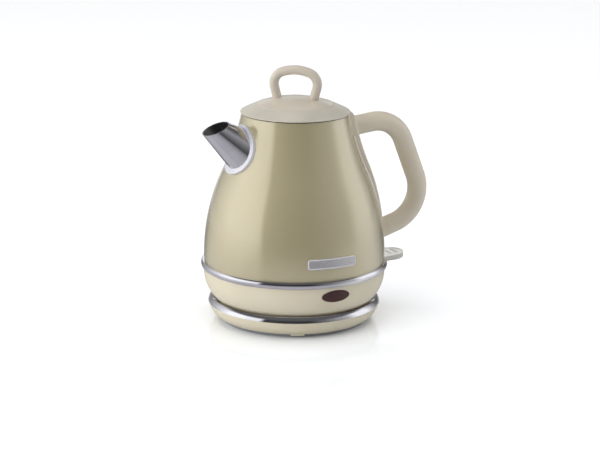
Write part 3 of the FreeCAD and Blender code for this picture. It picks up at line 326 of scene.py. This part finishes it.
def chrome(name, axis=None):
    """Polished chrome; the walls that face an axis, if one is given, are dull."""
    paint = Paint(name)
    wipe = paint.noise(90.0, 4.0)
    colour = paint.mottled(wipe, srgb(218, 217, 224), srgb(229, 228, 234))
    roughness = paint.spread(wipe, 0.03, 0.06)
    if axis:
        inside = paint.facing_axis(*axis)
        colour = paint.mix(inside, colour, srgb(224, 224, 230))
        roughness = paint.between(inside, roughness, 0.45)
    paint.set(Base_Color=colour, Roughness=roughness, Metallic=1.0)
    return paint.material


def clear_plastic():
    """Clear lever plastic with a faint ivory tint, and painted shade on its walls for the dark edges
    that clear plastic shows.
    """
    paint = Paint("clear_plastic")
    cloud = paint.noise(60.0, 2.0)
    tint = paint.mottled(cloud, srgb(242, 240, 230), srgb(250, 249, 242))
    # Painted shade: walls, found from the tilt of their normal, turn greyer in place of the dark edges
    # that refraction gives.
    tilt = paint.vector("DOT_PRODUCT", paint.normal, (0, 0, 1))
    walls_and_top = paint.spread(tilt, 0.0, 1.0, start=-0.5, end=-0.2)
    top = paint.spread(tilt, 0.0, 1.0, start=0.9, end=0.99)
    walls = paint.math("SUBTRACT", walls_and_top, top)
    paint.set(Base_Color=paint.mix(walls, tint, srgb(206, 204, 197)))
    paint.set(Roughness=paint.spread(cloud, 0.06, 0.12))
    paint.set(Transmission_Weight=paint.between(walls, 0.92, 0.6), IOR=1.49)
    return paint.material


def lens_plastic():
    """Dark red window of the indicator lamp, faintly uneven."""
    paint = Paint("lens_plastic")
    cloud = paint.noise(160.0, 2.0)
    paint.set(Base_Color=paint.mottled(cloud, srgb(58, 25, 25), srgb(72, 33, 31)))
    paint.set(Roughness=paint.spread(cloud, 0.2, 0.28))
    paint.set(Coat_Weight=0.15, Coat_Roughness=0.12)
    return paint.bump(paint.noise(900.0, 1.0), 0.03, 0.0002).material


def moulded(name, dark, light, roughness):
    """Plain moulded plastic or rubber with a spark eroded grain."""
    paint = Paint(name)
    grain = paint.noise(1500.0, 3.0)
    cloud = paint.noise(45.0, 2.0)
    paint.set(Base_Color=paint.mottled(cloud, dark, light))
    paint.set(Roughness=paint.spread(grain, roughness - 0.06, roughness + 0.08))
    return paint.bump(grain, 0.12, 0.0003).material


def metal(name, dark, light, roughness, stretch):
    """Bare metal with drawn or brushed streaks."""
    paint = Paint(name)
    streak = paint.noise(300.0, 4.0, stretch)
    paint.set(Base_Color=paint.mottled(streak, dark, light), Metallic=1.0)
    paint.set(Roughness=paint.spread(streak, roughness - 0.06, roughness + 0.08))
    return paint.bump(streak, 0.05, 0.0001).material


def lamp_glass():
    """Thin glass of the neon lamp."""
    paint = Paint("lamp_glass")
    cloud = paint.noise(120.0, 2.0)
    paint.set(Base_Color=paint.mottled(cloud, srgb(236, 214, 200), srgb(246, 232, 222)))
    paint.set(Roughness=0.05, Transmission_Weight=0.9, IOR=1.5)
    return paint.material


def plated_rim():
    """Bright satin plating of the spout's flange and the frame of the plate."""
    paint = Paint("plated_rim")
    wipe = paint.noise(300.0, 3.0)
    paint.set(Base_Color=paint.mottled(wipe, srgb(222, 221, 229), srgb(232, 231, 238)))
    paint.set(Metallic=0.2, Roughness=paint.spread(wipe, 0.16, 0.24))
    return paint.material


def badge_metal():
    """Bare satin plate with fine lengthwise brushing."""
    paint = Paint("badge_metal")
    streak = paint.noise(420.0, 4.0, (1.0, 1.0, 16.0))
    paint.set(Base_Color=paint.mottled(streak, srgb(190, 189, 192), srgb(214, 213, 216)))
    paint.set(Metallic=0.6, Roughness=paint.spread(streak, 0.26, 0.4))
    return paint.bump(streak, 0.1, 0.0001).material


def spout_axis():
    """Point and direction of the spout, from the boxes of its pieces. The middle of its mouth is
    taken a quarter of the way in from its tip."""
    low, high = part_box("spout")
    mouth = Vector(((low.x * 3 + high.x) / 4, 0, high.z))
    foot_low, foot_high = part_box("spout_collar")
    foot = (foot_low + foot_high) / 2
    return tuple(foot), tuple(mouth - foot)


bright_rim = plated_rim()
handle_cream = cream_plastic("handle_cream", srgb(217, 206, 186), srgb(224, 214, 195), 0.42, 0.6)

LOOKS = {
    "cream_plastic": cream_plastic("cream_plastic", srgb(222, 212, 187), srgb(229, 220, 197), 0.36, 0.3),
    "body_paint": body_paint(),
    "lid_paint": lid_paint(),
    "chrome": chrome("bright_chrome"),
    "clear_plastic": clear_plastic(),
    "lens_plastic": lens_plastic(),
    "grey_plastic": moulded("grey_plastic", srgb(150, 150, 148), srgb(164, 164, 161), 0.5),
    "black_plastic": moulded("black_plastic", srgb(34, 34, 35), srgb(46, 46, 47), 0.42),
    "rubber": moulded("rubber", srgb(140, 142, 147), srgb(156, 158, 162), 0.72),
    "steel": metal("steel", srgb(150, 150, 151), srgb(196, 196, 197), 0.3, (1.0, 1.0, 9.0)),
    "aluminium": metal("aluminium", srgb(176, 177, 179), srgb(208, 209, 211), 0.38, (6.0, 1.0, 1.0)),
    "brass": metal("brass", srgb(176, 142, 74), srgb(206, 172, 98), 0.28, (1.0, 1.0, 7.0)),
    "lamp_glass": lamp_glass(),
}
OWN_LOOKS = {
    "spout": chrome("spout_chrome", spout_axis()),
    "spout_collar": bright_rim,
    "handle_grip": handle_cream,
    "handle_spine": handle_cream,
    # The knob's cream is a darker copy of the handle's, painted shade that dims its brightly lit top.
    "lid_knob": cream_plastic("knob_cream_shaded", srgb(204, 194, 178), srgb(211, 202, 187), 0.38, 0.5),
}

for part in frame["record"]["subparts"]:
    node = frame["nodes"][part["node"]]
    look = OWN_LOOKS.get(part["node"], LOOKS[part["material_slot"]])
    node.data.materials.clear()
    node.data.materials.append(look)


# Pieces that the solids leave to the looks

def add_piece(name, mesh, material, body):
    """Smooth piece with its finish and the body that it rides."""
    for face in mesh.faces:
        face.smooth = True
    data = bpy.data.meshes.new(name)
    mesh.to_mesh(data)
    mesh.free()
    data.materials.append(material)
    piece = bpy.data.objects.new(name, data)
    bpy.context.scene.collection.objects.link(piece)
    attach(piece, body)
    return piece


def body_point(angle, z):
    """Point of the painted wall, found by a ray toward the axis."""
    start = Vector((math.cos(angle), math.sin(angle), 0)) * OUTSIDE_R
    start.z = z
    toward = Vector((-math.cos(angle), -math.sin(angle), 0))
    hit, point, _, _ = frame["nodes"]["body_shell"].ray_cast(start, toward)
    if not hit:
        raise RuntimeError("no wall at this height")
    return point


# Lie of the wall under the plate
BADGE_LOW = body_point(BADGE_ANGLE, BADGE_Z - BADGE_HALF_HEIGHT)
BADGE_HIGH = body_point(BADGE_ANGLE, BADGE_Z + BADGE_HALF_HEIGHT)
BADGE_R = body_point(BADGE_ANGLE, BADGE_Z).xy.length
BADGE_LEAN = (BADGE_HIGH - BADGE_LOW).normalized().z
BADGE_SLOPE = (BADGE_HIGH.xy.length - BADGE_LOW.xy.length) / (2 * BADGE_HALF_HEIGHT)


def on_wall(across, up, out):
    """Point at a place on the plate, bent round the body, standing out from its wall."""
    angle = BADGE_ANGLE + across / BADGE_R
    radius = BADGE_R + BADGE_SLOPE * up * BADGE_LEAN + out
    height = BADGE_Z + up * BADGE_LEAN - out * BADGE_SLOPE
    return Vector((radius * math.cos(angle), radius * math.sin(angle), height))


def rounded_outline(half_length, half_height, corner, steps=7, along=14):
    """Points round a rectangle with round corners, long sides divided to follow a bend."""
    points = []
    centres = ((1, 1, 0), (-1, 1, 90), (-1, -1, 180), (1, -1, 270))
    for side_x, side_y, first in centres:
        for step in range(steps + 1):
            turn = math.radians(first + 90 * step / steps)
            points.append((
                side_x * (half_length - corner) + corner * math.cos(turn),
                side_y * (half_height - corner) + corner * math.sin(turn),
            ))
    divided = []
    for here, after in zip(points, points[1:] + points[:1]):
        divided.append(here)
        count = along if abs(after[0] - here[0]) > half_length else 1
        for step in range(1, count):
            share = step / count
            across = here[0] + (after[0] - here[0]) * share
            up = here[1] + (after[1] - here[1]) * share
            divided.append((across, up))
    return divided


def ring_of_faces(mesh, rows):
    """Skin between closed rows of vertices, each row joined to the next, last to first."""
    for lower, upper in zip(rows, rows[1:] + rows[:1]):
        for index in range(len(lower)):
            after = (index + 1) % len(lower)
            mesh.faces.new((lower[index], lower[after], upper[after], upper[index]))


def badge_frame():
    """Raised bright frame with a rounded section."""
    mesh = bmesh.new()
    steps = 10
    rows = []
    for step in range(steps):
        turn = math.tau * step / steps
        inset = BADGE_FRAME_W * (0.5 - 0.5 * math.cos(turn))
        out = BADGE_FRAME_H * 0.5 * (1 + math.sin(turn)) - BADGE_SINK
        half_length = BADGE_HALF_LENGTH - inset
        half_height = BADGE_HALF_HEIGHT - inset
        outline = rounded_outline(half_length, half_height, BADGE_CORNER - inset)
        rows.append([mesh.verts.new(on_wall(across, up, out)) for across, up in outline])
    ring_of_faces(mesh, rows)
    bmesh.ops.recalc_face_normals(mesh, faces=mesh.faces)
    add_piece("badge_frame", mesh, bright_rim, "kettle")


def badge_plate():
    """Bare plate inside the frame, bent round the body."""
    mesh = bmesh.new()
    half_length = BADGE_HALF_LENGTH - BADGE_PLATE_INSET
    half_height = BADGE_HALF_HEIGHT - BADGE_PLATE_INSET
    corner = BADGE_CORNER - BADGE_PLATE_INSET
    columns = 48
    rows = 6
    lines = []
    for column in range(columns + 1):
        across = -half_length * math.cos(math.pi * column / columns)
        past = max(0.0, abs(across) - half_length + corner)
        reach = half_height - corner + math.sqrt(max(0.0, corner ** 2 - past ** 2))
        heights = [reach * (2 * row / rows - 1) for row in range(rows + 1)]
        lines.append([mesh.verts.new(on_wall(across, up, BADGE_PLATE_H)) for up in heights])
    for left, right in zip(lines, lines[1:]):
        for row in range(rows):
            mesh.faces.new((left[row], right[row], right[row + 1], left[row + 1]))
    add_piece("badge_plate", mesh, badge_metal(), "kettle")


def lever_ribs():
    """Raised grip lines across the top of the lever."""
    lever = frame["nodes"]["switch_lever"]
    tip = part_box("switch_lever")[1].x
    mesh = bmesh.new()
    for step in range(RIB_COUNT):
        x = tip - RIB_FIRST_FROM_TIP - step * RIB_PITCH
        _, top, _, _ = lever.ray_cast(Vector((x, 0, ABOVE_LEVER_Z)), Vector((0, 0, -1)))
        place = Matrix.Translation(top) @ Matrix.Rotation(math.pi / 2, 4, "X")
        bmesh.ops.create_cone(
            mesh, cap_ends=True, segments=RIB_SIDES, radius1=RIB_R, radius2=RIB_R,
            depth=2 * RIB_HALF_LENGTH, matrix=place,
        )
        for side in (-1, 1):
            end = Matrix.Translation(top + Vector((0, side * RIB_HALF_LENGTH, 0)))
            bmesh.ops.create_uvsphere(
                mesh, u_segments=RIB_SIDES, v_segments=RIB_SIDES // 2, radius=RIB_R, matrix=end,
            )
    add_piece("lever_ribs", mesh, LOOKS["clear_plastic"], "switch")


def return_spring():
    """The lever's spring, copied from the solid's spring and carried by the kettle in its place."""
    mesh = bmesh.new()
    mesh.from_mesh(frame["nodes"]["lever_spring"].data)
    spring = add_piece("return_spring", mesh, LOOKS["steel"], "kettle")
    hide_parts("lever_spring")
    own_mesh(spring)


badge_frame()
badge_plate()
lever_ribs()
return_spring()


# Studio

def world_light():
    """White to the camera. For light and reflections, a dark studio with soft panels left and
    right and a white backdrop behind the kettle, which the table reflects."""
    world = bpy.data.worlds.new("studio")
    world.use_nodes = True
    bpy.context.scene.world = world
    nodes = Nodes(world.node_tree)
    toward = nodes.add("ShaderNodeTexCoord").outputs["Generated"]
    front = nodes.vector("DOT_PRODUCT", toward, TO_CAMERA)
    back = nodes.vector("DOT_PRODUCT", toward, FROM_CAMERA)
    right = nodes.vector("DOT_PRODUCT", toward, CAMERA_RIGHT)
    up = nodes.vector("DOT_PRODUCT", toward, (0, 0, 1))
    angle = nodes.math("ARCTAN2", right, front)
    around = nodes.math("ADD", nodes.math("DIVIDE", angle, math.tau), 0.5)
    sides = nodes.ramp(around, [(degrees / 360 + 0.5, level) for degrees, level in SIDE_LEVELS])
    overhead = nodes.ramp(up, OVERHEAD_STOPS)
    below = nodes.math("MULTIPLY", sides, nodes.math("SUBTRACT", 1.0, overhead))
    panels = nodes.math("ADD", below, nodes.math("MULTIPLY", overhead, OVERHEAD_LEVEL))
    straight = nodes.ramp(back, BACKDROP_SIDE_STOPS)
    raised = nodes.ramp(up, BACKDROP_LOW_STOPS)
    studio = nodes.math("MAXIMUM", panels, nodes.math("MULTIPLY", straight, raised))
    seen = nodes.in_view(nodes.add("ShaderNodeLightPath"))
    background = nodes.tree.nodes["Background"]
    background.inputs["Color"].default_value = WHITE
    nodes.put(background.inputs["Strength"], nodes.between(seen, studio, 1.0))


def table_in_reflections(paint):
    """Painted light and shade of the table, which only reflections show: greys by bearing and distance.
    """
    bearing = paint.vector("NORMALIZE", paint.place)
    across = paint.vector("DOT_PRODUCT", bearing, CAMERA_RIGHT)
    ahead = paint.vector("DOT_PRODUCT", bearing, TO_CAMERA)
    reach = paint.vector("LENGTH", paint.place)
    before = paint.spread(reach, 0.85, 0.0, start=0.15, end=0.9)
    behind = paint.spread(reach, 0.0, 1.0, start=0.4, end=0.75)
    middle = paint.between(paint.spread(ahead, 0.0, 1.0, start=-0.2, end=0.4), behind, before)
    left_or_middle = paint.math("MAXIMUM", paint.spread(across, 0.0, 1.0, start=-0.6, end=-0.9), middle)
    right = paint.spread(across, 0.0, 1.0, start=0.65, end=0.92)
    greys = paint.mix(left_or_middle, srgb(110, 110, 113), srgb(206, 205, 210))
    return paint.mix(right, greys, srgb(240, 240, 243))


def table_finish():
    """Pale table top with a faint reflection, which glows to the camera where nothing shades it."""
    paint = Paint("floor")
    white = paint.mix(paint.noise(900.0, 2.0), srgb(244, 247, 251), srgb(248, 251, 254))
    rays = paint.add("ShaderNodeLightPath")
    # Reflections see the table's painted light and shade; the camera sees it white.
    paint.set(Base_Color=paint.mix(rays.outputs["Is Glossy Ray"], white, table_in_reflections(paint)))
    paint.set(Roughness=0.1, Specular_IOR_Level=0.5)
    open_sky = paint.add("ShaderNodeAmbientOcclusion")
    open_sky.inputs["Distance"].default_value = FLOOR_SHADE_REACH
    lit = paint.math("MULTIPLY", open_sky.outputs["AO"], FLOOR_GLOW)
    glow = paint.add("ShaderNodeEmission")
    glow.inputs["Color"].default_value = WHITE
    paint.put(glow.inputs["Strength"], paint.math("MULTIPLY", paint.in_view(rays), lit))
    both = paint.add("ShaderNodeAddShader")
    paint.put(both.inputs[0], paint.shader.outputs["BSDF"])
    paint.put(both.inputs[1], glow.outputs["Emission"])
    paint.put(paint.tree.nodes["Material Output"].inputs["Surface"], both.outputs["Shader"])
    return paint.material


def floor():
    """Table that the kettle stands on."""
    mesh = bmesh.new()
    bmesh.ops.create_grid(mesh, x_segments=1, y_segments=1, size=FLOOR_HALF)
    data = bpy.data.meshes.new("floor")
    mesh.to_mesh(data)
    mesh.free()
    data.materials.append(table_finish())
    ground = bpy.data.objects.new("floor", data)
    ground.location.z = FLOOR_Z
    bpy.context.scene.collection.objects.link(ground)


def soft_lamp(name, turn, height, distance, size, power):
    """Square lamp at an angle to the right of the camera, aimed at the kettle and not reflected."""
    light = bpy.data.lights.new(name, "AREA")
    light.size = size
    light.energy = power
    lamp = bpy.data.objects.new(name, light)
    heading = CAMERA_TURN + math.radians(turn)
    lamp.location = (math.sin(heading) * distance, -math.cos(heading) * distance, height)
    aim = Vector((0, 0, LAMP_AIM_Z)) - lamp.location
    lamp.rotation_euler = aim.to_track_quat("-Z", "Y").to_euler()
    lamp.visible_glossy = False
    bpy.context.scene.collection.objects.link(lamp)


def camera():
    """Camera of the photograph."""
    heading = Vector(FROM_CAMERA)
    forward = heading * math.cos(CAMERA_PITCH) - Vector((0, 0, math.sin(CAMERA_PITCH)))
    level_right = forward.cross(Vector((0, 0, 1))).normalized()
    level_up = level_right.cross(forward)
    right = level_right * math.cos(CAMERA_ROLL) + level_up * math.sin(CAMERA_ROLL)
    up = level_up * math.cos(CAMERA_ROLL) - level_right * math.sin(CAMERA_ROLL)
    data = bpy.data.cameras.new("camera")
    data.sensor_fit = "HORIZONTAL"
    data.sensor_width = SENSOR_MM
    data.lens = FOCAL_MM
    data.shift_x = SHIFT_X
    eye = bpy.data.objects.new("camera", data)
    place = -heading * CAMERA_DISTANCE + Vector((0, 0, CAMERA_HEIGHT))
    turn = Matrix((right, up, -forward)).transposed().to_4x4()
    eye.matrix_world = Matrix.Translation(place) @ turn
    bpy.context.scene.collection.objects.link(eye)
    bpy.context.scene.camera = eye


world_light()
floor()
for lamp in LAMPS:
    soft_lamp(*lamp)
camera()
bpy.context.scene.view_settings.view_transform = "Standard"
